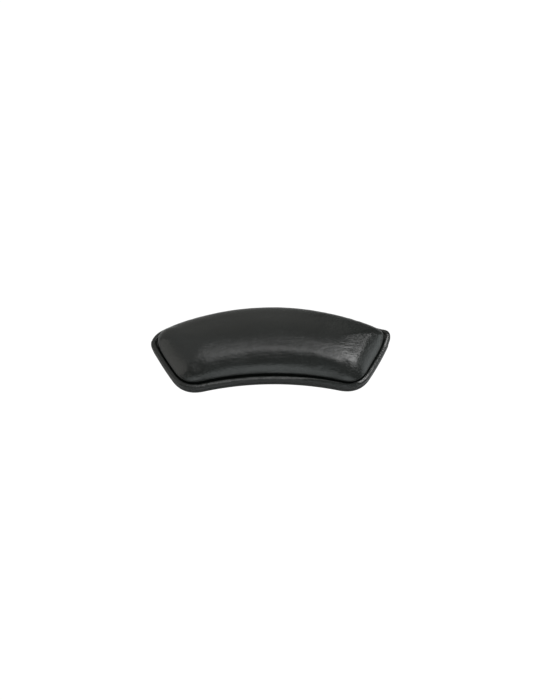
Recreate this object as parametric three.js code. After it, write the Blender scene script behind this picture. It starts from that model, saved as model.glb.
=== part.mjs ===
// Padded shoulder rest for a violin: a domed leather cushion seated in a leather-wrapped base
// plate with a rolled edge, which stands on a soft grip sheet.
//
// Millimetres, +Z up. X runs along the length, +Y points to the outer, convex edge, and -Y to
// the inner, concave edge. The origin is the middle of the footprint, on the resting surface.
// Seen from above the rest is a crescent: two arcs joined by two slanted ends, with all four
// corners rounded. Seen in section every layer is built by moving in from that outline
// towards a spine arc that runs along the middle of the crescent.

import * as THREE from 'three';

// Driving dimensions.
const LENGTH = 200; // tip to tip
const HEIGHT = 23.6; // resting surface to the crown of the cushion
const GAP = 0.3; // clearance between pieces that touch on the real object
const HIDE = 0.8; // thickness of the leather

// Outline of the base, before its corners are rounded.
const BACK_HALF = 0.517 * LENGTH; // half the chord of the convex edge
const BACK_BULGE = 32;
const FRONT_HALF = 0.357 * LENGTH; // half the chord of the concave edge
const FRONT_BULGE = 12;
const CORNER_DEPTH = 58; // from the front corners to the back corners, along Y
const END_BULGE = 1.7;
const BACK_CORNER = 12; // how far a corner's rounding runs along each edge
const FRONT_CORNER = 18;
const CORNER_PULL = 0.663; // how hard a rounded corner is drawn towards the sharp one

// Spine arc, half way between the two long edges.
const SPINE_HALF = 54;
const SPINE_BULGE = 7.1;

// Layers, from the resting surface up.
const GRIP_THICKNESS = 2.4;
const GRIP_INSET = 0.6; // the grip sheet stops just inside the rolled edge
const GRIP_ROUND = 0.5;
const BASE_UNDER = GRIP_THICKNESS + GAP; // underside of the base wrap
const ROLL_WIDTH = 2.5; // half width of the rolled edge
const ROLL_TOP = 9.1;
const SEAT_INSET = 4.6; // where the rolled edge has come down to the seat
const SEAT_TOP = 7.7; // the cushion sits here
const HEM = 10; // width of leather turned under each piece

// Cushion.
const CUSHION_INSET = 2.8; // from the base outline to the cushion's widest line
const CUSHION_UNDER = SEAT_TOP + GAP;
const CUSHION_WAIST = 10.4; // height of the cushion's widest line
const TUCK = 2.6; // how far the cushion's lower edge turns in
const DOME_POWER = 1.3; // 1 is an ellipse in section, higher is flatter at the rim
const DOME_STEPS = 9;
const CROWN = 0.96; // the dome is closed by a flat strip past this share of the way in
const BOARD_THICKNESS = 1.2;
const TOPPER = 5; // thickness of the soft foam over the firm block
const FOAM_EASE = 0.4; // clearance of each foam inside the layer around it

// Points along each stretch of the outline.
const BACK_STEPS = 18;
const FRONT_STEPS = 12;
const END_STEPS = 5;
const CORNER_STEPS = 6;

// Colours of the real materials.
const LEATHER = { color: 0x2c2c2b, roughness: 0.42, metalness: 0 };
const SOFT_FOAM = { color: 0xb9b2a0, roughness: 0.95, metalness: 0 };
const FIRM_FOAM = { color: 0x74777a, roughness: 0.95, metalness: 0 };
const FIBREBOARD = { color: 0x8a6a48, roughness: 0.85, metalness: 0 };
const ADHESIVE = { color: 0xd8cfae, roughness: 0.5, metalness: 0 };
const BASE_FOAM = { color: 0x3a3b3d, roughness: 0.9, metalness: 0 };
const GRIP_RUBBER = { color: 0x1e1f1f, roughness: 0.75, metalness: 0 };

// Part of the circular arc from one corner to the next. The bulge is to the left of the way
// from start to end, and a trim is how much of the arc is left off at that end.
function edgeArc(start, end, bulge, trimStart, trimEnd, steps) {
  const chord = end.clone().sub(start);
  const left = new THREE.Vector2(-chord.y, chord.x).normalize();
  const radius = (chord.length() ** 2 / 4 + bulge ** 2) / (2 * bulge);
  const centre = start.clone().add(end).multiplyScalar(0.5);
  centre.addScaledVector(left, bulge - radius);
  const halfAngle = Math.asin(chord.length() / 2 / radius);
  const first = halfAngle - trimStart / radius;
  const last = -halfAngle + trimEnd / radius;
  const points = [];
  for (let i = 0; i <= steps; i += 1) {
    const angle = THREE.MathUtils.lerp(first, last, i / steps);
    const spoke = left.clone().multiplyScalar(radius);
    points.push(spoke.rotateAround(new THREE.Vector2(), angle).add(centre));
  }
  return points;
}

// Rounded corner between two trimmed edges, without its two end points.
function roundedCorner(from, sharp, to) {
  const pullFrom = from.clone().lerp(sharp, CORNER_PULL);
  const pullTo = to.clone().lerp(sharp, CORNER_PULL);
  const curve = new THREE.CubicBezierCurve(from, pullFrom, pullTo, to);
  return curve.getPoints(CORNER_STEPS).slice(1, -1);
}

// Outline of the base, anticlockwise from the left end of the front edge. Here Y starts at
// the chord of the front edge.
function baseOutline() {
  const frontLeft = new THREE.Vector2(-FRONT_HALF, 0);
  const frontRight = new THREE.Vector2(FRONT_HALF, 0);
  const backRight = new THREE.Vector2(BACK_HALF, CORNER_DEPTH);
  const backLeft = new THREE.Vector2(-BACK_HALF, CORNER_DEPTH);
  const sharp = [frontRight, backRight, backLeft, frontLeft];
  const edges = [
    edgeArc(frontLeft, frontRight, FRONT_BULGE, FRONT_CORNER, FRONT_CORNER, FRONT_STEPS),
    edgeArc(frontRight, backRight, -END_BULGE, FRONT_CORNER, BACK_CORNER, END_STEPS),
    edgeArc(backRight, backLeft, -BACK_BULGE, BACK_CORNER, BACK_CORNER, BACK_STEPS),
    edgeArc(backLeft, frontLeft, -END_BULGE, BACK_CORNER, FRONT_CORNER, END_STEPS),
  ];
  const points = [];
  for (const [i, edge] of edges.entries()) {
    const next = edges[(i + 1) % edges.length];
    points.push(...edge, ...roundedCorner(edge[edge.length - 1], sharp[i], next[0]));
  }
  return points;
}

// The spine arc's nearest point to each point of the outline.
function spinePoints(outline) {
  const crest = (FRONT_BULGE + CORNER_DEPTH + BACK_BULGE) / 2;
  const radius = (SPINE_HALF ** 2 + SPINE_BULGE ** 2) / (2 * SPINE_BULGE);
  const centre = new THREE.Vector2(0, crest - radius);
  const reach = Math.asin(SPINE_HALF / radius);
  return outline.map((point) => {
    const angle = Math.atan2(point.x, point.y - centre.y);
    const held = THREE.MathUtils.clamp(angle, -reach, reach);
    return new THREE.Vector2(Math.sin(held), Math.cos(held)).multiplyScalar(radius).add(centre);
  });
}

const OUTLINE = baseOutline();
const SPINE = spinePoints(OUTLINE);
const MIDDLE = new THREE.Box2().setFromPoints(OUTLINE).getCenter(new THREE.Vector2());

// A ring at a given height, moved in from the outline by a distance, and after that by a
// share of what is left on the way to the spine.
function ring(inset, height, share = 0) {
  return OUTLINE.map((edge, i) => {
    const way = SPINE[i].clone().sub(edge);
    const moved = inset + share * (way.length() - inset);
    const place = edge.clone().addScaledVector(way.normalize(), moved).sub(MIDDLE);
    return new THREE.Vector3(place.x, place.y, height);
  });
}

// Rings from a dome's widest line up to its crown.
function domeRings(inset, waist, top) {
  const lastAngle = Math.acos(1 - CROWN);
  const rings = [];
  for (let i = 0; i <= DOME_STEPS; i += 1) {
    const angle = (lastAngle * i) / DOME_STEPS;
    const rise = (top - waist) * Math.sin(angle) ** DOME_POWER;
    rings.push(ring(inset, waist + rise, 1 - Math.cos(angle)));
  }
  return rings;
}

// Rings round the rolled edge of the base, from its underside over its crest to the seat. The
// skin is how far inside the leather's outer face they lie.
function rollRings(skin) {
  const low = BASE_UNDER + skin;
  const high = ROLL_TOP - skin;
  const middle = (low + high) / 2;
  const reach = ROLL_WIDTH - skin;
  const rings = [];
  for (const degrees of [-90, -50, -15, 15, 50, 90]) {
    const angle = THREE.MathUtils.degToRad(degrees);
    const inset = ROLL_WIDTH - reach * Math.cos(angle);
    rings.push(ring(inset, middle + (high - middle) * Math.sin(angle)));
  }
  const seat = SEAT_TOP - skin;
  rings.push(ring((ROLL_WIDTH + SEAT_INSET) / 2, (high + seat) / 2));
  rings.push(ring(SEAT_INSET, seat));
  return rings;
}

// One closed solid through a row of rings, with a flat face on the first and the last. It
// may turn back inside itself, which makes a shell that is open underneath.
function loft(name, look, rings) {
  const count = OUTLINE.length;
  const positions = rings.flat().flatMap((point) => point.toArray());
  const faces = [];
  for (let level = 0; level < rings.length - 1; level += 1) {
    for (let i = 0; i < count; i += 1) {
      const a = level * count + i;
      const b = level * count + ((i + 1) % count);
      faces.push(a, b, b + count, a, b + count, a + count);
    }
  }
  const top = (rings.length - 1) * count;
  for (const [a, b, c] of THREE.ShapeUtils.triangulateShape(rings[0], [])) {
    faces.push(a, c, b);
  }
  for (const [a, b, c] of THREE.ShapeUtils.triangulateShape(rings[rings.length - 1], [])) {
    faces.push(top + a, top + b, top + c);
  }
  const geometry = new THREE.BufferGeometry();
  geometry.setAttribute('position', new THREE.Float32BufferAttribute(positions, 3));
  geometry.setIndex(faces);
  geometry.computeVertexNormals();
  const mesh = new THREE.Mesh(geometry, new THREE.MeshStandardMaterial(look));
  mesh.name = name;
  return mesh;
}

// Flat sheet with plain edges.
function sheet(name, look, inset, under, thickness) {
  return loft(name, look, [ring(inset, under), ring(inset, under + thickness)]);
}

// Soft rubber sheet that grips the violin's back, with softened edges.
function gripPad() {
  const inner = GRIP_INSET + GRIP_ROUND;
  return loft('grip_pad', GRIP_RUBBER, [
    ring(inner, 0),
    ring(GRIP_INSET, GRIP_ROUND),
    ring(GRIP_INSET, GRIP_THICKNESS - GRIP_ROUND),
    ring(inner, GRIP_THICKNESS),
  ]);
}

// Adhesive sheet between the grip and the base plate, inside the base wrap's hem.
function gripBond() {
  return sheet('grip_bond', ADHESIVE, HEM + GAP, BASE_UNDER, HIDE);
}

// Leather wrapped over the base plate and turned under it.
function baseCover() {
  const inside = rollRings(HIDE).reverse();
  const hemTop = ring(HEM, BASE_UNDER + HIDE);
  const hemUnder = ring(HEM, BASE_UNDER);
  return loft('base_cover', LEATHER, [...inside, hemTop, hemUnder, ...rollRings(0)]);
}

// Moulded foam plate with a raised rim that makes the rolled edge.
function basePlate() {
  return loft('base_plate', BASE_FOAM, rollRings(HIDE + GAP));
}

// Double-sided adhesive sheet that holds the cushion in its seat.
function cushionBond() {
  return sheet('cushion_bond', ADHESIVE, CUSHION_INSET + HEM + GAP, CUSHION_UNDER, HIDE);
}

// Thin flexible board that the cushion's leather is pulled over and glued to.
function cushionBoard() {
  const under = CUSHION_UNDER + HIDE + GAP;
  const inset = CUSHION_INSET + TUCK;
  return sheet('cushion_board', FIBREBOARD, inset, under, BOARD_THICKNESS);
}

// Leather cover of the cushion, turned under the board all round.
function cushionCover() {
  const hem = CUSHION_INSET + HEM;
  const tuckInset = CUSHION_INSET + TUCK;
  const tuckHeight = CUSHION_WAIST - CUSHION_UNDER;
  const outside = domeRings(CUSHION_INSET, CUSHION_WAIST, HEIGHT);
  const inside = domeRings(CUSHION_INSET + HIDE, CUSHION_WAIST, HEIGHT - HIDE).reverse();
  const turned = Math.SQRT1_2;
  return loft('cushion_cover', LEATHER, [
    ...inside,
    ring(tuckInset - (TUCK - HIDE) * turned, CUSHION_WAIST - (tuckHeight - HIDE) * turned),
    ring(tuckInset, CUSHION_UNDER + HIDE),
    ring(hem, CUSHION_UNDER + HIDE),
    ring(hem, CUSHION_UNDER),
    ring(tuckInset, CUSHION_UNDER),
    ring(tuckInset - TUCK * turned, CUSHION_WAIST - tuckHeight * turned),
    ...outside,
  ]);
}

// Firm foam block on the board.
function coreFoam() {
  const under = CUSHION_UNDER + HIDE + BOARD_THICKNESS + 2 * GAP;
  const skin = HIDE + TOPPER + 2 * FOAM_EASE;
  return loft('core_foam', FIRM_FOAM, domeRings(CUSHION_INSET + skin, under, HEIGHT - skin));
}

// Soft foam laid over the firm block, down to the board.
function comfortFoam() {
  const under = CUSHION_UNDER + HIDE + BOARD_THICKNESS + 2 * GAP;
  const skin = HIDE + FOAM_EASE;
  const inner = skin + TOPPER;
  return loft('comfort_foam', SOFT_FOAM, [
    ...domeRings(CUSHION_INSET + inner, under, HEIGHT - inner).reverse(),
    ...domeRings(CUSHION_INSET + skin, under, HEIGHT - skin),
  ]);
}

const shoulderRest = new THREE.Group();
shoulderRest.add(gripPad(), gripBond(), baseCover(), basePlate(), cushionBond());
shoulderRest.add(cushionBoard(), cushionCover(), coreFoam(), comfortFoam());

export default shoulderRest;
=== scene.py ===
import math

import bpy
import numpy as np
from mathutils import Matrix, Vector, noise
from mathutils.bvhtree import BVHTree


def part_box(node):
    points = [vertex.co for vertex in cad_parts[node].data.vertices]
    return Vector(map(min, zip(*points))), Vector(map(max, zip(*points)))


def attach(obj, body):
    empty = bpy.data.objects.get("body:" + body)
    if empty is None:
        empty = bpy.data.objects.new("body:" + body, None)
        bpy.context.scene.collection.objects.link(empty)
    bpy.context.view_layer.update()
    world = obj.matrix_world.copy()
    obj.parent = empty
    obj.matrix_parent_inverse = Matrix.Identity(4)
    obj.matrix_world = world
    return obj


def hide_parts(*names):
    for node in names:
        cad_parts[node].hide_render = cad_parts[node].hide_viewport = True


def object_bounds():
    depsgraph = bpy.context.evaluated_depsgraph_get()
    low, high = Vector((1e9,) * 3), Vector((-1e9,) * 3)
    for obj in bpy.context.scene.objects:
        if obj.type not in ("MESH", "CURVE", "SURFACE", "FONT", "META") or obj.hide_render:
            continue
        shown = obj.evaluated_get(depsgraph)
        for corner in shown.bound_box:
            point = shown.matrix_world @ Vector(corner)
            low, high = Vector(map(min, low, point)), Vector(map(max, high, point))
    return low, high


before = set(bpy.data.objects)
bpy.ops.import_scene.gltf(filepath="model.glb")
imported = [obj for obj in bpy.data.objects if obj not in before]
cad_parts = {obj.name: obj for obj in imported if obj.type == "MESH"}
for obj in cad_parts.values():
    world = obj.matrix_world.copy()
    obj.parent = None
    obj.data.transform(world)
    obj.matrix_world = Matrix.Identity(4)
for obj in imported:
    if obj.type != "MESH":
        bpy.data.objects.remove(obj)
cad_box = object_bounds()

# ------------------------------------------------------------------------------------------
# The white table the shoulder rest lies on, the studio light and the camera.
# One large soft box overhead and to the right gives the main light, weak panels all round give
# the rest, and the camera looks down on the front, concave edge.
# ------------------------------------------------------------------------------------------
TABLE_RADIUS = 4.0
CAMERA_DISTANCE = 1.1
CAMERA_ELEVATION = math.radians(50.0)
CAMERA_TURN = math.radians(0.42)
CAMERA_TARGET = Vector((-0.0004, 0.0024, 0.0))
VIEW_HEIGHT = 0.5902  # height of the view at the rest's distance
LIGHT_DISTANCE = 1.2
LOW_PANEL = 60  # a panel tilted further than this to one side is set square to its way down
WARM, PLAIN, COOL = (1.0, 0.985, 0.94), (1.0, 1.0, 1.0), (0.94, 1.0, 1.0)
# name, tilt from straight up to the right and to the front in degrees, spread both ways in
# degrees, radiance, tint
STUDIO_LIGHTS = (
    ("soft_box", 24, -12, 26, 21, 8.0, PLAIN),
    ("soft_box_edge", 4, -12, 18, 19, 1.9, PLAIN),
    ("ceiling", -17, -18, 34, 36, 0.38, PLAIN),
    ("front_panel", -4, 52, 82, 30, 0.95, COOL),
    ("front_panel_middle", 1, 42, 24, 30, 0.85, COOL),
    ("right_panel", 87, -12, 30, 60, 1.7, COOL),
    ("left_panel", -72, 0, 36, 80, 0.95, WARM),
    ("back_panel", -30, -60, 70, 56, 0.37, WARM),
)
ROOM_LIGHT = 0.11
BLEACHED = 1.05  # what the camera sees of the table and the room is over-lit to plain white


def new_material(name):
    """Node material with an empty Principled shader, and the pieces needed to wire it."""
    material = bpy.data.materials.new(name)
    material.use_nodes = True
    nodes = material.node_tree.nodes
    return material, nodes, material.node_tree.links, nodes["Principled BSDF"]


def pale_table():
    """Over-lit white to the camera, and a plain grey for the light it throws on the rest."""
    material, nodes, links, shader = new_material("pale_table")
    shader.inputs["Base Color"].default_value = (0.6, 0.6, 0.6, 1.0)
    shader.inputs["Roughness"].default_value = 0.7
    bleached = nodes.new("ShaderNodeEmission")
    bleached.inputs["Strength"].default_value = BLEACHED
    seen = nodes.new("ShaderNodeLightPath")
    mix = nodes.new("ShaderNodeMixShader")
    links.new(seen.outputs["Is Camera Ray"], mix.inputs["Fac"])
    links.new(shader.outputs["BSDF"], mix.inputs[1])
    links.new(bleached.outputs["Emission"], mix.inputs[2])
    links.new(mix.outputs["Shader"], nodes["Material Output"].inputs["Surface"])
    return material


bpy.ops.mesh.primitive_circle_add(vertices=64, radius=TABLE_RADIUS, fill_type="NGON")
table = bpy.context.object
table.name = "table"
table.data.materials.append(pale_table())

for name, right, front, wide, deep, radiance, tint in STUDIO_LIGHTS:
    tilt = math.radians(math.hypot(right, front))
    turn = math.atan2(-front, right)
    way = Vector((math.sin(tilt) * math.cos(turn), math.sin(tilt) * math.sin(turn), math.cos(tilt)))
    lamp_data = bpy.data.lights.new(name, "AREA")
    lamp_data.shape = "RECTANGLE"
    lamp_data.color = tint
    lamp_data.size = 2 * LIGHT_DISTANCE * math.tan(math.radians(wide) / 2)
    lamp_data.size_y = 2 * LIGHT_DISTANCE * math.tan(math.radians(deep) / 2)
    lamp_data.energy = radiance * math.pi * lamp_data.size * lamp_data.size_y
    lamp = bpy.data.objects.new(name, lamp_data)
    lamp.location = way * LIGHT_DISTANCE
    lamp.visible_camera = False
    across = Vector((-way.y, way.x, 0.0)) if abs(right) > LOW_PANEL else Vector((1.0, 0.0, 0.0))
    across = (across - way * across.dot(way)).normalized()
    up = way.cross(across)
    lamp.rotation_euler = Matrix((across, up, way)).transposed().to_euler()
    bpy.context.scene.collection.objects.link(lamp)

world = bpy.data.worlds.new("studio")
world.use_nodes = True
room = world.node_tree.nodes["Background"]
room.inputs["Color"].default_value = (1.0, 1.0, 1.0, 1.0)
seen = world.node_tree.nodes.new("ShaderNodeLightPath")
strength = world.node_tree.nodes.new("ShaderNodeMapRange")
strength.inputs["To Min"].default_value = ROOM_LIGHT
strength.inputs["To Max"].default_value = BLEACHED
world.node_tree.links.new(seen.outputs["Is Camera Ray"], strength.inputs["Value"])
world.node_tree.links.new(strength.outputs["Result"], room.inputs["Strength"])
bpy.context.scene.world = world

camera_data = bpy.data.cameras.new("camera")
camera_data.sensor_fit = "VERTICAL"
camera_data.angle = 2.0 * math.atan(0.5 * VIEW_HEIGHT / CAMERA_DISTANCE)
camera = bpy.data.objects.new("camera", camera_data)
level = CAMERA_DISTANCE * math.cos(CAMERA_ELEVATION)
back = Vector((-level * math.sin(CAMERA_TURN), -level * math.cos(CAMERA_TURN), 0.0))
back.z = CAMERA_DISTANCE * math.sin(CAMERA_ELEVATION)
camera.location = CAMERA_TARGET + back
camera.rotation_euler = back.to_track_quat("Z", "Y").to_euler()
bpy.context.scene.collection.objects.link(camera)
bpy.context.scene.camera = camera
bpy.context.scene.view_settings.view_transform = "Standard"

# ------------------------------------------------------------------------------------------
# Grip sheet: a soft rubber sheet, die-cut to the crescent outline, that keeps the rest from
# sliding on the violin. It is glued under the base, and only its edge shows.
# ------------------------------------------------------------------------------------------
MM = 0.001
LENGTH = cad_box[1][0] - cad_box[0][0]
BACK_HALF, BACK_BULGE = 0.517 * LENGTH, 32 * MM
FRONT_HALF, FRONT_BULGE = 0.357 * LENGTH, 12 * MM
CORNER_DEPTH, END_BULGE = 58 * MM, 1.7 * MM
CORNER_CUTS = {"front": 18 * MM, "back_right": 8 * MM, "back_left": 13 * MM}
CORNER_PULL = 0.663
# How far each sharp corner lies from its even place, to the right and to the back.
FRONT_LEFT_SHIFT, FRONT_RIGHT_SHIFT = (0.3 * MM, -0.6 * MM), (0.5 * MM, -0.2 * MM)
BACK_RIGHT_SHIFT, BACK_LEFT_SHIFT = (-0.9 * MM, 0.0), (0.1 * MM, -0.7 * MM)
SPINE_HALF, SPINE_BULGE = 54 * MM, 7.1 * MM
OUTLINE_MIDDLE = CORNER_DEPTH + BACK_BULGE - cad_box[1][1]
LONG_CELLS, END_CELLS = 120, 44
POINTS_A_CELL = 4  # points of the outline to each cell of a layer's grid
CROWDING = 1.25  # above 1, the grid's rows lie closer together near the edge
SQUARE_IN = 5 * MM  # the first stretch inwards runs square to the edge, then to the spine


def edge_arc(start, end, bulge, trim_start, trim_end, count=60):
    """Part of the arc between two sharp corners, with its bulge to the left of the way."""
    chord = end - start
    span = np.hypot(*chord)
    left = np.array((-chord[1], chord[0])) / span
    radius = (span**2 / 4 + bulge**2) / (2 * bulge)
    centre = (start + end) / 2 + left * (bulge - radius)
    half = math.asin(span / 2 / radius)
    angle = np.linspace(half - trim_start / radius, -half + trim_end / radius, count)
    across = left * radius
    x = across[0] * np.cos(angle) - across[1] * np.sin(angle)
    y = across[0] * np.sin(angle) + across[1] * np.cos(angle)
    return np.column_stack((x, y)) + centre


def rounded_corner(start, sharp, end, count=25):
    """Cubic curve that rounds a sharp corner between two trimmed edges."""
    pull_start = start + (sharp - start) * CORNER_PULL
    pull_end = end + (sharp - end) * CORNER_PULL
    u = np.linspace(0, 1, count)[:, None]
    first = (1 - u) ** 3 * start + 3 * (1 - u) ** 2 * u * pull_start
    return first + 3 * (1 - u) * u**2 * pull_end + u**3 * end


def resampled(path, count):
    """The same path with points at even steps."""
    along = np.r_[0, np.cumsum(np.hypot(*np.diff(path, axis=0).T))]
    steps = np.linspace(0, along[-1], count)
    return np.column_stack([np.interp(steps, along, path[:, axis]) for axis in (0, 1)])


def crescent_sides():
    """Front, right, back and left side of the outline, each from mid corner to mid corner."""
    front_left = np.array((-FRONT_HALF, 0.0)) + FRONT_LEFT_SHIFT
    front_right = np.array((FRONT_HALF, 0.0)) + FRONT_RIGHT_SHIFT
    back_right = np.array((BACK_HALF, CORNER_DEPTH)) + BACK_RIGHT_SHIFT
    back_left = np.array((-BACK_HALF, CORNER_DEPTH)) + BACK_LEFT_SHIFT
    front, right = CORNER_CUTS["front"], CORNER_CUTS["back_right"]
    left = CORNER_CUTS["back_left"]
    edges = [
        edge_arc(front_left, front_right, FRONT_BULGE, front, front),
        edge_arc(front_right, back_right, -END_BULGE, front, right),
        edge_arc(back_right, back_left, -BACK_BULGE, right, left),
        edge_arc(back_left, front_left, -END_BULGE, left, front),
    ]
    sharp = [front_right, back_right, back_left, front_left]
    corners = []
    for i in range(4):
        corners.append(rounded_corner(edges[i][-1], sharp[i], edges[(i + 1) % 4][0]))
    sides = []
    for i in range(4):
        before, after = corners[i - 1], corners[i]
        half = len(before) // 2
        path = np.vstack((before[half:-1], edges[i], after[1 : half + 1]))
        path = path - (0, OUTLINE_MIDDLE)
        sides.append(resampled(path, (LONG_CELLS, END_CELLS)[i % 2] * POINTS_A_CELL + 1))
    return sides


def inward(loop):
    """Unit vectors square to a closed anticlockwise loop, pointing in."""
    way = np.roll(loop, -1, axis=0) - np.roll(loop, 1, axis=0)
    way /= np.hypot(*way.T)[:, None]
    return np.column_stack((-way[:, 1], way[:, 0]))


def spine(share):
    """Point of the spine arc at a share of the way from its left end to its right end."""
    radius = (SPINE_HALF**2 + SPINE_BULGE**2) / (2 * SPINE_BULGE)
    top = 0.5 * (FRONT_BULGE + CORNER_DEPTH + BACK_BULGE) - OUTLINE_MIDDLE
    angle = (2 * np.asarray(share) - 1) * math.asin(SPINE_HALF / radius)
    return np.column_stack((radius * np.sin(angle), top - radius + radius * np.cos(angle)))


SIDES = crescent_sides()
LOOP = np.vstack([side[:-1] for side in SIDES])
LOOP_IN = inward(LOOP)
SIDE_STARTS = np.cumsum([0] + [len(side) - 1 for side in SIDES])


def place(side, share, inset, rise_share):
    """Plan points at shares along one side, moved in by a distance and then a share."""
    share = np.asarray(share, float)
    at = SIDE_STARTS[side] + share * (len(SIDES[side]) - 1)
    low = np.floor(at).astype(int)
    part = (at - low)[:, None]
    count = len(LOOP)
    edge = LOOP[low % count] * (1 - part) + LOOP[(low + 1) % count] * part
    square = LOOP_IN[low % count] * (1 - part) + LOOP_IN[(low + 1) % count] * part
    along = {0: share, 1: np.ones_like(share), 2: 1 - share, 3: np.zeros_like(share)}[side]
    middle = spine(along)
    point = edge + square * min(inset, SQUARE_IN)
    way = middle - point
    reach = np.hypot(*way.T)[:, None]
    point = point + way / reach * max(inset - SQUARE_IN, 0)
    return point + (middle - point) * rise_share


def ring(inset, height, step=0, rise_share=0.0):
    """Closed ring of points round the crescent, step cells in from the edge of its grid."""
    parts = []
    for side in range(4):
        cells = (LONG_CELLS, END_CELLS)[side % 2] - 2 * step
        parts.append(place(side, np.arange(cells) / max(cells, 1), inset, rise_share))
    plan = np.vstack(parts)
    return np.column_stack((plan, np.full(len(plan), height)))


def crescent_cap(inset, rise):
    """Quad grid over the crescent: points by column and row, from the edge to the spine."""
    steps = END_CELLS // 2
    grid = np.zeros((LONG_CELLS + 1, END_CELLS + 1, 3))
    for step in range(steps + 1):
        inner = (step / steps) ** CROWDING
        last_column, last_row = LONG_CELLS - step, END_CELLS - step
        height = rise(inner)
        if step == steps:
            share = np.linspace(0, 1, LONG_CELLS - 2 * step + 1)
            grid[step : last_column + 1, step, :2] = spine(share)
            grid[step : last_column + 1, step, 2] = height
            continue
        loop = ring(inset, height, step, inner)
        columns, rows = LONG_CELLS - 2 * step, END_CELLS - 2 * step
        for k in range(columns):
            grid[step + k, step] = loop[k]
            grid[last_column - k, last_row] = loop[columns + rows + k]
        for k in range(rows):
            grid[last_column, step + k] = loop[columns + k]
            grid[step, last_row - k] = loop[2 * columns + rows + k]
    return grid


def cap_loop():
    """Grid places round the edge of a cap, in the order of a ring's points."""
    loop = [(i, 0) for i in range(LONG_CELLS)]
    loop += [(LONG_CELLS, j) for j in range(END_CELLS)]
    loop += [(i, END_CELLS) for i in range(LONG_CELLS, 0, -1)]
    return loop + [(0, j) for j in range(END_CELLS, 0, -1)]


def crescent_mesh(name, inset, rise, rim, under=None):
    """Mesh of a crescent layer: a cap, then rings (inset, height) from its edge outwards and
    down. With under, the height of a cap below like rise, it is closed into a solid."""
    grid = crescent_cap(inset, rise)
    wide = END_CELLS + 1
    points = [grid.reshape(-1, 3)]
    faces = []
    for i in range(LONG_CELLS):
        for j in range(END_CELLS):
            a = i * wide + j
            faces.append((a, a + wide, a + wide + 1, a + 1))
    upper = [i * wide + j for i, j in cap_loop()]
    total = len(points[0])
    around = len(upper)
    for rim_inset, rim_height in rim:
        points.append(ring(rim_inset, rim_height))
        lower = list(range(total, total + around))
        total += around
        for k in range(around):
            after = (k + 1) % around
            faces.append((lower[k], lower[after], upper[after], upper[k]))
        upper = lower
    if under is not None:
        floor = crescent_cap(rim[-1][0], under)
        inside = np.ones((LONG_CELLS + 1, wide), bool)
        numbers = np.zeros((LONG_CELLS + 1, wide), int)
        for number, (i, j) in zip(upper, cap_loop()):
            inside[i, j] = False
            numbers[i, j] = number
        numbers[inside] = total + np.arange(inside.sum())
        points.append(floor[inside])
        for i in range(LONG_CELLS):
            for j in range(END_CELLS):
                a, b = numbers[i, j], numbers[i + 1, j]
                c, d = numbers[i + 1, j + 1], numbers[i, j + 1]
                faces.append((a, d, c, b))
    mesh = bpy.data.meshes.new(name)
    mesh.from_pydata(np.vstack(points).tolist(), [], faces)
    mesh.update()
    piece = bpy.data.objects.new(name, mesh)
    bpy.context.scene.collection.objects.link(piece)
    mesh.shade_smooth()
    return piece


def texture_space(nodes, links, stretch=(1.0, 1.0, 1.0)):
    """Object coordinates in metres, for textures that stay put on the piece."""
    coordinates = nodes.new("ShaderNodeTexCoord")
    mapping = nodes.new("ShaderNodeMapping")
    mapping.inputs["Scale"].default_value = stretch
    links.new(coordinates.outputs["Object"], mapping.inputs["Vector"])
    return mapping.outputs["Vector"]


def noise_texture(nodes, links, space, scale, detail=3.0):
    texture = nodes.new("ShaderNodeTexNoise")
    texture.inputs["Scale"].default_value = scale
    texture.inputs["Detail"].default_value = detail
    links.new(space, texture.inputs["Vector"])
    return texture.outputs["Fac"]


def between(nodes, links, value, low, high, from_low=0.3, from_high=0.7):
    """A texture's value, spread between two numbers."""
    spread = nodes.new("ShaderNodeMapRange")
    spread.inputs["From Min"].default_value = from_low
    spread.inputs["From Max"].default_value = from_high
    spread.inputs["To Min"].default_value = low
    spread.inputs["To Max"].default_value = high
    links.new(value, spread.inputs["Value"])
    return spread.outputs["Result"]


def tinted(nodes, links, value, dark, light):
    """Colour between a dark and a light tint, by a texture's value."""
    ramp = nodes.new("ShaderNodeValToRGB")
    ramp.color_ramp.elements[0].position = 0.3
    ramp.color_ramp.elements[0].color = (*dark, 1.0)
    ramp.color_ramp.elements[1].position = 0.7
    ramp.color_ramp.elements[1].color = (*light, 1.0)
    links.new(value, ramp.inputs["Fac"])
    return ramp.outputs["Color"]


def bumped(nodes, links, height, distance, under=None):
    """Surface direction that a texture's height gives, on top of a coarser one if given."""
    bump = nodes.new("ShaderNodeBump")
    bump.inputs["Strength"].default_value = 1.0
    bump.inputs["Distance"].default_value = distance
    links.new(height, bump.inputs["Height"])
    if under is not None:
        links.new(under, bump.inputs["Normal"])
    return bump.outputs["Normal"]


def ramp(value, start, length):
    """Rises evenly from 0 to 1 over a length from its start."""
    return np.clip((value - start) / length, 0, 1)


def bell(value, width):
    """1 at nought, and less with the distance from it, over about the width."""
    return np.exp(-((value / width) ** 2))


def near_corner(points, corner, reach):
    """Bell round a corner of the outline, by each point's distance from it in plan."""
    return bell(np.hypot(*(points[:, :2] - LOOP[corner]).T), reach)


def coordinates(piece):
    flat = np.zeros(len(piece.data.vertices) * 3)
    piece.data.vertices.foreach_get("co", flat)
    return flat.reshape(-1, 3)


def set_coordinates(piece, points):
    piece.data.vertices.foreach_set("co", np.asarray(points, float).ravel())
    piece.data.update()


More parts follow.
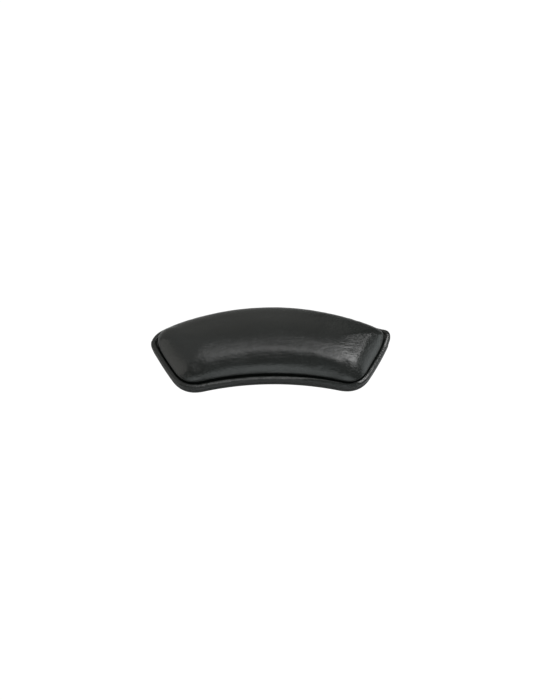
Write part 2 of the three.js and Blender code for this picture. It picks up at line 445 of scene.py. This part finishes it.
def grip_rubber():
    material, nodes, links, shader = new_material("grip_rubber")
    space = texture_space(nodes, links)
    mottle = noise_texture(nodes, links, space, 140.0)
    skin = noise_texture(nodes, links, space, 2600.0, detail=2.0)
    colour = tinted(nodes, links, mottle, (0.040, 0.041, 0.040), (0.058, 0.059, 0.057))
    links.new(colour, shader.inputs["Base Color"])
    links.new(between(nodes, links, mottle, 0.55, 0.72), shader.inputs["Roughness"])
    links.new(bumped(nodes, links, skin, 0.08 * MM), shader.inputs["Normal"])
    return material


GRIP_INSET, GRIP_ROUND = 0.6 * MM, 0.5 * MM
CORNER_SPREAD = 9 * MM  # how much of its edges a shifted corner takes along
LEFT_DRAW = 2.0 * MM  # the left back corner is drawn in to the front by this
grip_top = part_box("grip_pad")[1].z
quarter = np.linspace(0, math.pi / 2, 5)
grip_rim = []
for a in quarter[1:]:
    inset = GRIP_INSET + GRIP_ROUND * (1 - math.sin(a))
    grip_rim.append((inset, grip_top - GRIP_ROUND * (1 - math.cos(a))))
for a in quarter:
    inset = GRIP_INSET + GRIP_ROUND * (1 - math.cos(a))
    grip_rim.append((inset, GRIP_ROUND * (1 - math.sin(a))))
grip_sheet = crescent_mesh(
    "grip_sheet", GRIP_INSET + GRIP_ROUND, lambda inner: grip_top, grip_rim,
    under=lambda inner: 0.0,
)
points = coordinates(grip_sheet)
points[:, 1] -= LEFT_DRAW * near_corner(points, SIDE_STARTS[3], CORNER_SPREAD)
set_coordinates(grip_sheet, points)
grip_sheet.data.materials.append(grip_rubber())
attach(grip_sheet, "root")
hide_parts("grip_pad")

# ------------------------------------------------------------------------------------------
# Grip bond: double-sided adhesive sheet between the grip sheet and the base, cut to lie
# inside the turned-under hem of the base leather. Its own sheet from the frame is kept.
# ------------------------------------------------------------------------------------------
def adhesive_sheet():
    material, nodes, links, shader = new_material("adhesive_sheet")
    space = texture_space(nodes, links)
    cloud = noise_texture(nodes, links, space, 60.0)
    fibres = noise_texture(nodes, links, texture_space(nodes, links, (1.0, 9.0, 1.0)), 400.0)
    colour = tinted(nodes, links, cloud, (0.52, 0.46, 0.30), (0.70, 0.65, 0.48))
    links.new(colour, shader.inputs["Base Color"])
    links.new(between(nodes, links, fibres, 0.35, 0.6), shader.inputs["Roughness"])
    links.new(bumped(nodes, links, fibres, 0.05 * MM), shader.inputs["Normal"])
    return material


ADHESIVE = adhesive_sheet()
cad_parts["grip_bond"].material_slots[0].material = ADHESIVE

# ------------------------------------------------------------------------------------------
# Base plate: moulded closed-cell foam with a raised rim, which gives the base its rolled
# edge and the shallow seat that the cushion is set into. Its right back corner stands up.
# ------------------------------------------------------------------------------------------
HIDE, GAP = 0.8 * MM, 0.3 * MM
BASE_UNDER = grip_top + GAP
ROLL_TOP = 9.1 * MM
SEAT_INSET, SEAT_TOP = 5.0 * MM, 7.7 * MM
CORNER_RISE, CORNER_PROUD = 2.6 * MM, 1.6 * MM  # right back corner, up and to the back
SEAT_EDGE, SEAT_FADE = 5.0 * MM, 1.5 * MM  # a shifted corner leaves what is further in alone
ROLL_CREST, CREST_TO_EDGE = 2.6 * MM, 2.4 * MM
RIGHT_HALF, HALF_FADE = 30 * MM, 7 * MM  # where the front roll's right part begins
RIGHT_SLOPE, LEFT_BREADTH = 0.9 * MM, 0.5 * MM
SIDE_LOW, SIDE_FADE = 4 * MM, 4 * MM
ROLL_SHAPE = (  # inset and height in mm: seat, crest, outward slope, side, underside
    (4.5, 7.7), (3.3, 8.4), (2.6, 8.95), (1.4, 8.8), (0.2, 8.45), (-0.55, 7.9), (-0.7, 6.5),
    (0.1, 2.95), (2.0, 2.7),
)


def roll_profile(skin, cuts):
    """Rings (inset, height) from the seat over the rolled edge to its underside, a skin's
    thickness inside the leather's outer face."""
    path = np.array(ROLL_SHAPE) * MM
    for cut in range(cuts):
        first, second = path[:-1] * 0.75 + path[1:] * 0.25, path[:-1] * 0.25 + path[1:] * 0.75
        middle = np.stack((first, second), axis=1).reshape(-1, 2)
        path = np.vstack((path[:1], middle, path[-1:]))
    way = np.gradient(path, axis=0)
    way /= np.hypot(*way.T)[:, None]
    out = np.column_stack((way[:, 1], -way[:, 0]))
    return (path - out * skin).tolist()


def edge_gaps(plan):
    """Distance in plan from each point to the front, right, back and left side."""
    columns = []
    for side in SIDES:
        apart = plan[:, None, :] - side[None, ::3, :]
        columns.append(np.sqrt((apart**2).sum(axis=2)).min(axis=1))
    return np.column_stack(columns)


def base_shape(points):
    """The base's right back corner stands up and out a little from the cushion, and its left
    back corner is drawn in. Along the front edge the roll is broader at the left, and slopes
    more steeply at the right."""
    rise = ramp(points[:, 2], BASE_UNDER, ROLL_TOP - BASE_UNDER)
    rim = 1 - ramp(edge_gaps(points[:, :2]).min(axis=1), SEAT_EDGE, SEAT_FADE)
    right = rim * near_corner(points, SIDE_STARTS[2], CORNER_SPREAD)
    points[:, 2] += CORNER_RISE * right * rise
    points[:, 1] += CORNER_PROUD * right
    left = rim * near_corner(points, SIDE_STARTS[3], CORNER_SPREAD)
    points[:, 1] -= LEFT_DRAW * left
    front = edge_gaps(points[:, :2])[:, 0]
    outer = 1 - ramp(front, ROLL_CREST - CREST_TO_EDGE, CREST_TO_EDGE)
    upper = ramp(points[:, 2], SIDE_LOW, SIDE_FADE)
    right_part = 1 / (1 + np.exp((RIGHT_HALF - points[:, 0]) / HALF_FADE))
    points[:, 2] -= RIGHT_SLOPE * outer * upper * right_part
    points[:, 1] -= LEFT_BREADTH * outer * upper * (1 - right_part)
    return points


def closed_cell_foam():
    material, nodes, links, shader = new_material("closed_cell_foam")
    space = texture_space(nodes, links)
    cells = nodes.new("ShaderNodeTexVoronoi")
    cells.inputs["Scale"].default_value = 1500.0
    links.new(space, cells.inputs["Vector"])
    cloud = noise_texture(nodes, links, space, 90.0)
    colour = tinted(nodes, links, cloud, (0.040, 0.041, 0.044), (0.062, 0.063, 0.067))
    links.new(colour, shader.inputs["Base Color"])
    links.new(between(nodes, links, cloud, 0.8, 0.95), shader.inputs["Roughness"])
    links.new(bumped(nodes, links, cells.outputs["Distance"], 0.12 * MM), shader.inputs["Normal"])
    return material


rim_plate = crescent_mesh(
    "rim_plate", SEAT_INSET, lambda inner: SEAT_TOP - HIDE - GAP, roll_profile(HIDE + 2 * GAP, 2),
    under=lambda inner: BASE_UNDER + HIDE + GAP,
)
set_coordinates(rim_plate, base_shape(coordinates(rim_plate)))
rim_plate.data.materials.append(closed_cell_foam())
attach(rim_plate, "root")
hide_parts("base_plate")

# ------------------------------------------------------------------------------------------
# Base leather: black leather pulled over the plate's rim and turned under it. It gathers a
# little at the corners, and the roll is never quite even.
# ------------------------------------------------------------------------------------------
HEM = 9 * MM
FOLD_MIDDLE, FOLD_SLANT, FOLD_REACH = 5.5 * MM, 0.9, 9 * MM
FOLD_WIDTH, RIDGE_AWAY, RIDGE_WIDTH = 0.8 * MM, 1.7 * MM, 1.0 * MM  # a fold has a ridge beside it
FOLD_TOP, FOLD_FADE = ROLL_TOP - 0.8 * MM, 1.5 * MM
SLOW_WAVE, QUICK_WAVE = 14 * MM, 5 * MM
SLOW_SWELL, QUICK_SWELL = 0.16 * MM, 0.09 * MM
SWELL_OVER = 1.5 * MM  # the swells set in over this height above the base's underside
BASE_PEBBLE, BASE_CREASE = 0.55 * MM, 0.012 * MM
WRAP_FOLDS = (  # corner of the outline, shift along it and depth, in mm
    (SIDE_STARTS[0], 0.0, 0.55), (SIDE_STARTS[0], 5.0, 0.35), (SIDE_STARTS[0], -4.5, 0.3),
    (SIDE_STARTS[1], -2.0, 0.35), (SIDE_STARTS[1], 3.5, 0.3), (SIDE_STARTS[3], 0.0, 0.4),
)


def black_leather(name, grain, depth):
    """Fine-grained black leather: pebbles of the grain's size, parted by creases this deep."""
    material, nodes, links, shader = new_material(name)
    space = texture_space(nodes, links)
    drift = noise_texture(nodes, links, space, 0.35 / grain, detail=2.0)
    warped = nodes.new("ShaderNodeVectorMath")
    warped.operation = "MULTIPLY_ADD"
    warped.inputs[1].default_value = (grain * 0.9, grain * 0.9, grain * 0.9)
    links.new(drift, warped.inputs[0])
    links.new(space, warped.inputs[2])
    pebbles = nodes.new("ShaderNodeTexVoronoi")
    pebbles.feature = "DISTANCE_TO_EDGE"
    pebbles.inputs["Scale"].default_value = 1.0 / grain
    links.new(warped.outputs["Vector"], pebbles.inputs["Vector"])
    creases = between(nodes, links, pebbles.outputs["Distance"], 0.0, 1.0, 0.0, 0.22)
    pores = noise_texture(nodes, links, space, 2.4 / grain, detail=3.0)
    cloud = noise_texture(nodes, links, space, 35.0, detail=4.0)
    mottle = noise_texture(nodes, links, space, 0.45 / grain, detail=2.0)
    uneven = bumped(nodes, links, mottle, 0.17 * MM)
    fine = bumped(nodes, links, pores, 0.006 * MM, under=uneven)
    links.new(bumped(nodes, links, creases, depth, under=fine), shader.inputs["Normal"])
    colour = tinted(nodes, links, cloud, (0.0102, 0.0115, 0.0103), (0.0122, 0.0142, 0.0130))
    links.new(colour, shader.inputs["Base Color"])
    worn = nodes.new("ShaderNodeMath")
    worn.operation = "ADD"
    links.new(between(nodes, links, cloud, 0.20, 0.25), worn.inputs[0])
    links.new(between(nodes, links, pores, -0.04, 0.06), worn.inputs[1])
    links.new(worn.outputs["Value"], shader.inputs["Roughness"])
    return material


def solid_shell(piece, thickness):
    """Gives a leather skin its thickness, inwards."""
    wall = piece.modifiers.new("thickness", "SOLIDIFY")
    wall.thickness = thickness
    wall.offset = -1.0


def finer(piece):
    """Applies one level of subdivision to a piece's mesh."""
    smooth = piece.modifiers.new("finer", "SUBSURF")
    smooth.levels = smooth.render_levels = 1
    bake_modifiers(piece)


def bake_modifiers(piece):
    """Makes what a piece's modifiers show its own mesh, and removes them."""
    graph = bpy.context.evaluated_depsgraph_get()
    shown = bpy.data.meshes.new_from_object(piece.evaluated_get(graph))
    old = piece.data
    piece.modifiers.clear()
    piece.data = shown
    bpy.data.meshes.remove(old)
    shown.name = piece.name
    shown.shade_smooth()


def normals(piece):
    flat = np.zeros(len(piece.data.vertices) * 3)
    piece.data.vertex_normals.foreach_get("vector", flat)
    return flat.reshape(-1, 3)


def waviness(points, length, seed):
    """Smooth noise between about -1 and 1, with waves of the given length."""
    shift = Vector((seed * 7.3, seed * 3.1, seed * 5.7))
    return np.array([noise.noise(Vector(point) / length + shift) for point in points])


def wrap_fold(points, corner, shift, depth):
    """Depth of a slanted fold in the wrapped side at a corner of the outline."""
    tip = LOOP[corner % len(LOOP)]
    way = LOOP[(corner + 3) % len(LOOP)] - LOOP[corner - 3]
    way /= np.hypot(*way)
    along = (points[:, :2] - tip) @ way - shift - FOLD_SLANT * (points[:, 2] - FOLD_MIDDLE)
    away = np.hypot(*(points[:, :2] - tip).T)
    dent = bell(along, FOLD_WIDTH) - 0.5 * bell(along - RIDGE_AWAY, RIDGE_WIDTH)
    low = ramp(-points[:, 2], -FOLD_TOP, FOLD_FADE)
    return depth * dent * low * np.exp(-((away / FOLD_REACH) ** 4))


base_leather = crescent_mesh(
    "base_leather", SEAT_INSET, lambda inner: SEAT_TOP,
    roll_profile(0.0, 1) + [(4.5 * MM, BASE_UNDER), (HEM, BASE_UNDER)],
)
finer(base_leather)
points = base_shape(coordinates(base_leather))
out = normals(base_leather)
shown_edge = ramp(points[:, 2], BASE_UNDER, SWELL_OVER)
swell = SLOW_SWELL * waviness(points, SLOW_WAVE, 1) + QUICK_SWELL * waviness(points, QUICK_WAVE, 2)
for corner, shift, depth in WRAP_FOLDS:
    swell -= wrap_fold(points, corner, shift * MM, depth * MM)
points += out * (swell * shown_edge)[:, None]
set_coordinates(base_leather, points)
base_leather.data.materials.append(black_leather("base_leather", BASE_PEBBLE, BASE_CREASE))
solid_shell(base_leather, HIDE)
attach(base_leather, "root")
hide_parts("base_cover")

# ------------------------------------------------------------------------------------------
# Cushion bond: adhesive sheet in the seat, between the base leather and the turned hem of
# the cushion. Its own sheet from the frame is kept.
# ------------------------------------------------------------------------------------------
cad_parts["cushion_bond"].material_slots[0].material = ADHESIVE

# ------------------------------------------------------------------------------------------
# Cushion filling: a thin fibreboard that the leather is pulled over and glued to, a firm foam
# block on it that keeps the cushion's height, and a soft foam layer that is laid over the
# block down to the board and rounds its shoulders.
# ------------------------------------------------------------------------------------------
CUSHION_INSET, CUSHION_WAIST = 3.3 * MM, 11.5 * MM
BOARD_INSET, BOARD_UNDER, BOARD_TOP = 5.9 * MM, 9.1 * MM, 10.3 * MM
BOARD_BEVEL = 0.2 * MM
HEIGHT = cad_box[1][2] - cad_box[0][2]
DOME_POWER = 1.3
FOAM_EASE, TOPPER = 0.4 * MM, 5 * MM
CORE_BEVEL, TOPPER_INSET = 0.4 * MM, 0.5 * MM
foam_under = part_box("core_foam")[0].z
CROWN_ARCH = 1.1 * MM  # the crown falls by this at the spine's ends
SHOULDER_INSET, SHOULDER_WIDTH, SHOULDER_RISE = 14 * MM, 5 * MM, 0.6 * MM
SHOULDER_BLEND, SHOULDER_BOW, SHOULDER_SPAN = 3 * MM, 7 * MM, 56 * MM
SHOULDER_SHARE, SHOULDER_GROWTH = 0.7, 110 * MM  # its share at mid length, growing to the right
SHOULDER_END, SHOULDER_END_RIGHT, END_FADE = 12 * MM, 5 * MM, 14 * MM  # from the back edge
END_SHIFT_OVER = 60 * MM
BACK_RISE, BACK_CREST, BACK_WIDTH = 1.6 * MM, 9 * MM, 8 * MM  # fuller along the back edge
CREST_SHIFT, CREST_FROM, CREST_OVER = 2.5 * MM, 35 * MM, 30 * MM  # nearer to it at the right
BACK_SPREAD, SPREAD_WIDTH = 1.0 * MM, 9 * MM
BACK_CENTRE = -140 * MM  # centre of the back edge's bow
DIMPLES = ((-59 * MM, -31 * MM), (60 * MM, -31 * MM))
DIMPLE_DEPTH, DIMPLE_REACH = 1.0 * MM, 6 * MM
CORNER_EASE, CORNER_REACH = (2.0 * MM, 2.4 * MM), 12 * MM  # right, left
FRONT_FLARE, FLARE_REACH = (0.6 * MM, 1.5 * MM), 15 * MM  # left, right


def dome(waist, top):
    """Height of a dome over its waist, by the share of the way from its edge to the spine."""

    def rise(inner):
        across = math.sqrt(max(1 - (1 - inner) ** 2, 0))
        return waist + (top - waist) * across**DOME_POWER

    return rise


def settled(points, arch):
    """Gives the points of a dome the shape that the pulled leather settles to: a crown that
    falls towards its ends, a firm shoulder round the front and ends, a dimple at both of
    the shoulder's corners, a fuller back, back corners drawn in from the base's, and a lower
    edge that flares at the front corners."""
    lift = ramp(points[:, 2], CUSHION_WAIST, HEIGHT - CUSHION_WAIST)
    along = np.clip(np.abs(points[:, 0]) / SPINE_HALF, 0, 1.25)
    points[:, 2] -= arch * along**2 * lift
    gaps = edge_gaps(points[:, :2])
    middle = np.clip(1 - (points[:, 0] / SHOULDER_SPAN) ** 2, 0, 1)
    gaps[:, 0] -= SHOULDER_BOW * middle
    near = -SHOULDER_BLEND * np.log(np.exp(-gaps[:, [0, 1, 3]] / SHOULDER_BLEND).sum(axis=1))
    firm = bell(near - SHOULDER_INSET, SHOULDER_WIDTH)
    firm *= np.clip(SHOULDER_SHARE + points[:, 0] / SHOULDER_GROWTH, 0.1, 1)
    to_right = ramp(points[:, 0], 0, END_SHIFT_OVER)
    end = SHOULDER_END + (SHOULDER_END_RIGHT - SHOULDER_END) * to_right
    firm *= ramp(gaps[:, 2], end, END_FADE)
    points[:, 2] += SHOULDER_RISE * firm * np.clip(3 * lift, 0, 1)
    crest = BACK_CREST - CREST_SHIFT * ramp(points[:, 0], CREST_FROM, CREST_OVER)
    points[:, 2] += BACK_RISE * bell(gaps[:, 2] - crest, BACK_WIDTH) * np.clip(3 * lift, 0, 1)
    spread = BACK_SPREAD * bell(gaps[:, 2], SPREAD_WIDTH) * np.clip(6 * lift, 0, 1)
    outward = points[:, :2] - (0, BACK_CENTRE)
    points[:, :2] += outward / np.hypot(*outward.T)[:, None] * spread[:, None]
    for x, y in DIMPLES:
        away = np.hypot(points[:, 0] - x, points[:, 1] - y)
        points[:, 2] -= DIMPLE_DEPTH * bell(away, DIMPLE_REACH) * lift
    for corner, ease in zip(SIDE_STARTS[2:4], CORNER_EASE):
        tip = LOOP[corner]
        end = np.array((math.copysign(SPINE_HALF, tip[0]), 0.0))
        way = (end - tip) / np.hypot(*(end - tip))
        points[:, :2] += way * (ease * near_corner(points, corner, CORNER_REACH))[:, None]
    for corner, flare in zip(SIDE_STARTS[:2], FRONT_FLARE):
        low = (1 - lift) ** 3 * near_corner(points, corner, FLARE_REACH)
        points[:, :2] -= LOOP_IN[corner] * (flare * low)[:, None]
    return points


def open_cell_foam(name, dark, light, cell):
    material, nodes, links, shader = new_material(name)
    space = texture_space(nodes, links)
    cells = nodes.new("ShaderNodeTexVoronoi")
    cells.inputs["Scale"].default_value = 1.0 / cell
    links.new(space, cells.inputs["Vector"])
    cloud = noise_texture(nodes, links, space, 120.0)
    colour = tinted(nodes, links, cloud, dark, light)
    links.new(colour, shader.inputs["Base Color"])
    links.new(between(nodes, links, cloud, 0.88, 1.0), shader.inputs["Roughness"])
    links.new(bumped(nodes, links, cells.outputs["Distance"], 0.25 * cell), shader.inputs["Normal"])
    return material


def fibreboard():
    material, nodes, links, shader = new_material("fibreboard")
    fibres = noise_texture(nodes, links, texture_space(nodes, links, (1.0, 6.0, 6.0)), 350.0, 5.0)
    colour = tinted(nodes, links, fibres, (0.23, 0.14, 0.07), (0.38, 0.25, 0.14))
    links.new(colour, shader.inputs["Base Color"])
    links.new(between(nodes, links, fibres, 0.7, 0.9), shader.inputs["Roughness"])
    links.new(bumped(nodes, links, fibres, 0.08 * MM), shader.inputs["Normal"])
    return material


backing_board = crescent_mesh(
    "backing_board", BOARD_INSET + BOARD_BEVEL, lambda inner: BOARD_TOP,
    [(BOARD_INSET, BOARD_TOP - BOARD_BEVEL), (BOARD_INSET, BOARD_UNDER + BOARD_BEVEL),
     (BOARD_INSET + BOARD_BEVEL, BOARD_UNDER)],
    under=lambda inner: BOARD_UNDER,
)
set_coordinates(backing_board, settled(coordinates(backing_board), 0.0))
backing_board.data.materials.append(fibreboard())
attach(backing_board, "root")
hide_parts("cushion_board")

core_skin = HIDE + TOPPER + 2 * FOAM_EASE
firm_core = crescent_mesh(
    "firm_core", CUSHION_INSET + core_skin, dome(foam_under, HEIGHT - core_skin),
    [(CUSHION_INSET + core_skin + CORE_BEVEL, foam_under)], under=lambda inner: foam_under,
)
set_coordinates(firm_core, settled(coordinates(firm_core), CROWN_ARCH))
FIRM_GREY, FIRM_PALE_GREY, FIRM_CELL = (0.20, 0.21, 0.22), (0.28, 0.29, 0.30), 0.5 * MM
firm_core.data.materials.append(
    open_cell_foam("firm_foam", FIRM_GREY, FIRM_PALE_GREY, FIRM_CELL))
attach(firm_core, "root")
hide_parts("core_foam")

topper_skin = HIDE + FOAM_EASE
soft_topper = crescent_mesh(
    "soft_topper", CUSHION_INSET + topper_skin + TOPPER_INSET,
    dome(foam_under, HEIGHT - topper_skin),
    [(CUSHION_INSET + core_skin - FOAM_EASE, foam_under)],
    under=dome(foam_under, HEIGHT - core_skin + FOAM_EASE),
)
set_coordinates(soft_topper, settled(coordinates(soft_topper), CROWN_ARCH))
SOFT_CREAM, SOFT_PALE_CREAM, SOFT_CELL = (0.55, 0.50, 0.40), (0.66, 0.62, 0.52), 0.9 * MM
soft_topper.data.materials.append(
    open_cell_foam("soft_foam", SOFT_CREAM, SOFT_PALE_CREAM, SOFT_CELL))
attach(soft_topper, "root")
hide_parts("comfort_foam")

# ------------------------------------------------------------------------------------------
# Cushion leather: one piece of black leather pulled over the foam, gathered at the corners
# and turned under the board. It is swelled by the foam, so it is made by a cloth simulation
# with pressure inside and its turned edge held.
# ------------------------------------------------------------------------------------------
CUSHION_UNDER = SEAT_TOP + GAP
TUCK, TUCK_ROUNDING = 2.6 * MM, 0.62
TURNED_UNDER, CUSHION_HEM = 1.5 * MM, HEM + 2 * MM
CROWN_LIFT = 0.6 * MM
START_DROP = 1.2 * MM  # the leather starts this much below the crown, then swells
SWELL_LIMIT = 2.5 * MM
SWELL_PRESSURE = 40.0
SWELL_FRAMES = 20
HELD_OVER = 1.2 * MM  # the leather is freed over this height above the waist
FOAM_CLEAR, CLEAR_FROM, CLEAR_OVER = HIDE + 0.8 * MM, CUSHION_WAIST + 1 * MM, 4 * MM
CLEAR_REACH = 4 * MM
BROAD_WAVE, NARROW_WAVE = 20 * MM, 7 * MM
BROAD_SWELL, NARROW_SWELL = 0.14 * MM, 0.05 * MM
CREASE_STRETCH, CREASE_WAVE, CREASE_DEPTH = (3.5, 1.0, 1.0), 3.0 * MM, 0.09 * MM
PATCH_WAVE = 22 * MM  # the creases come in patches of about this size
GATHER_WAVE, GATHER_REACH, GATHER_DEPTH = 2.6 * MM, 13 * MM, 0.06 * MM
GATHER_LOW, GATHER_HIGH = CUSHION_WAIST - 1 * MM, 17 * MM
CUSHION_PEBBLE, CUSHION_CREASE = 0.8 * MM, 0.018 * MM


def tuck_profile():
    """Rings from the cushion's waist in under its overhang and down to the hem."""
    rings = []
    for angle in np.linspace(0, math.pi / 2, 9)[1:]:
        inset = CUSHION_INSET + TUCK * (1 - math.cos(angle)) ** TUCK_ROUNDING
        drop = (CUSHION_WAIST - CUSHION_UNDER) * math.sin(angle) ** 2
        rings.append((inset, CUSHION_WAIST - drop))
    rings.append((CUSHION_INSET + TUCK + TURNED_UNDER, CUSHION_UNDER))
    return rings + [(CUSHION_HEM, CUSHION_UNDER)]


def swell_leather(piece):
    """Cloth simulation of the leather over its foam, with the movement of each point capped."""
    start = coordinates(piece)
    held = piece.vertex_groups.new(name="held")
    for index, grip in enumerate(1 - ramp(start[:, 2], CUSHION_WAIST, HELD_OVER)):
        held.add([index], float(grip), "REPLACE")
    cloth = piece.modifiers.new("swell", "CLOTH")
    settings = cloth.settings
    settings.quality = 6
    settings.mass = 0.001
    settings.tension_stiffness = settings.compression_stiffness = 15.0
    settings.shear_stiffness = 5.0
    settings.bending_stiffness = 0.5
    settings.vertex_group_mass = "held"
    settings.use_pressure = True
    settings.uniform_pressure_force = SWELL_PRESSURE
    settings.effector_weights.gravity = 0.0
    cloth.collision_settings.use_collision = False
    cloth.point_cache.frame_start, cloth.point_cache.frame_end = 1, SWELL_FRAMES
    scene = bpy.context.scene
    for number in range(1, SWELL_FRAMES + 1):
        scene.frame_set(number)
    bake_modifiers(piece)
    scene.frame_set(1)
    moved = coordinates(piece) - start
    far = np.linalg.norm(moved, axis=1)
    share = np.minimum(1, SWELL_LIMIT / np.maximum(far, 1e-9))
    set_coordinates(piece, start + moved * share[:, None])


def gathers(points, corner):
    """Radial gathers round a corner of the outline: ridges that fan out from a centre near
    the corner, and fade with the distance from it and outside a band of heights."""
    offset = points[:, :2] - LOOP[corner] * 0.9
    angle = np.arctan2(offset[:, 1], offset[:, 0])
    near = np.exp(-((np.hypot(*offset.T) / GATHER_REACH) ** 4))
    band = ramp(points[:, 2], GATHER_LOW, 0.6 * MM)
    band *= ramp(-points[:, 2], -GATHER_HIGH, 0.3 * (GATHER_HIGH - GATHER_LOW))
    ridge = np.sin(angle * GATHER_REACH / GATHER_WAVE * 2 * math.pi + 3 * np.sin(3 * angle))
    return ridge * near * band


def drawn_leather(piece):
    """The unevenness of leather pulled over foam: slow swells, fine creases along the top,
    and gathers that fan out of the corners."""
    points = coordinates(piece)
    above = ramp(points[:, 2], CUSHION_WAIST, 2 * MM)
    swell = BROAD_SWELL * waviness(points, BROAD_WAVE, 3)
    swell += NARROW_SWELL * waviness(points, NARROW_WAVE, 4)
    crease = 1 - np.abs(waviness(points / CREASE_STRETCH, CREASE_WAVE, 5))
    patch = np.clip(waviness(points, PATCH_WAVE, 6) * 2 + 0.4, 0, 1)
    swell -= CREASE_DEPTH * crease**6 * patch
    for corner in SIDE_STARTS[:4]:
        swell += GATHER_DEPTH * gathers(points, corner)
    set_coordinates(piece, points + normals(piece) * (swell * above)[:, None])


def kept_off(piece, foam, clear):
    """Moves a leather's upper points outwards where they are closer than this to the foam."""
    graph = bpy.context.evaluated_depsgraph_get()
    tree = BVHTree.FromObject(foam, graph)
    points = coordinates(piece)
    for index, point in enumerate(points):
        near, normal, face, away = tree.find_nearest(Vector(point))
        share = float(ramp(point[2], CLEAR_FROM, CLEAR_OVER))
        height = (Vector(point) - near).dot(normal)
        if share > 0 and normal.z > -0.2 and height < clear and away < CLEAR_REACH:
            points[index] += np.array(normal) * (clear - height) * share
    set_coordinates(piece, points)


start_drop = START_DROP
cushion_leather = crescent_mesh(
    "cushion_leather", CUSHION_INSET, dome(CUSHION_WAIST, HEIGHT + CROWN_LIFT - start_drop),
    tuck_profile())
swell_leather(cushion_leather)
cushion_leather.vertex_groups.clear()
set_coordinates(cushion_leather, settled(coordinates(cushion_leather), 0.0))
kept_off(cushion_leather, soft_topper, FOAM_CLEAR)
finer(cushion_leather)
drawn_leather(cushion_leather)
cushion_leather.data.materials.append(
    black_leather("cushion_leather", CUSHION_PEBBLE, CUSHION_CREASE))
solid_shell(cushion_leather, HIDE)
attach(cushion_leather, "root")
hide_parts("cushion_cover")
